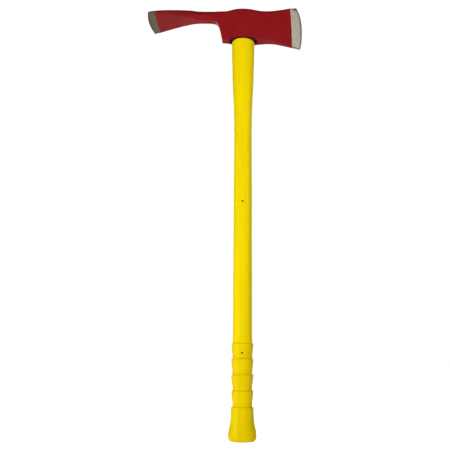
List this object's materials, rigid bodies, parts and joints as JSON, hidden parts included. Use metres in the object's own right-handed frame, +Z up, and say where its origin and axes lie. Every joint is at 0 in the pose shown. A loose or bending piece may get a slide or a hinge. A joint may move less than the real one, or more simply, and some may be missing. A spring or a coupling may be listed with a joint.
{
  "type": "fire axe",
  "caption": "Two-handed fire axe with an axe bit and a cross-set grub hoe forged in one head, on a straight plastic-jacketed handle with a ringed grip and flared knob.",
  "frame": {"origin": "centre of the flat butt end of the handle", "axes": "+Z up the handle towards the head, +X towards the axe bit, -X towards the grub hoe, Y across the blade's flat faces"},
  "size_m": [0.327, 0.078, 0.9282],
  "materials": {
    "head_enamel": "red air-dried enamel over forged steel, cutting edges ground bare",
    "fibre_core": "pultruded glass-fibre rod, sawn end",
    "jacket_yellow": "moulded polypropylene, satin",
    "grip_yellow": "softer moulded plastic, satin with ring steps",
    "plug_yellow": "moulded plastic plug",
    "resin": "cast epoxy, glossy with a meniscus",
    "seal_rubber": "soft flanged dam bush that holds the resin back"
  },
  "bodies": {
    "root": {"head": "head_enamel", "core_rod": "fibre_core", "shaft_jacket": "jacket_yellow", "grip": "grip_yellow", "butt_plug": "plug_yellow", "epoxy_fill": "resin", "eye_seal": "seal_rubber"}
  },
  "joints": []
}
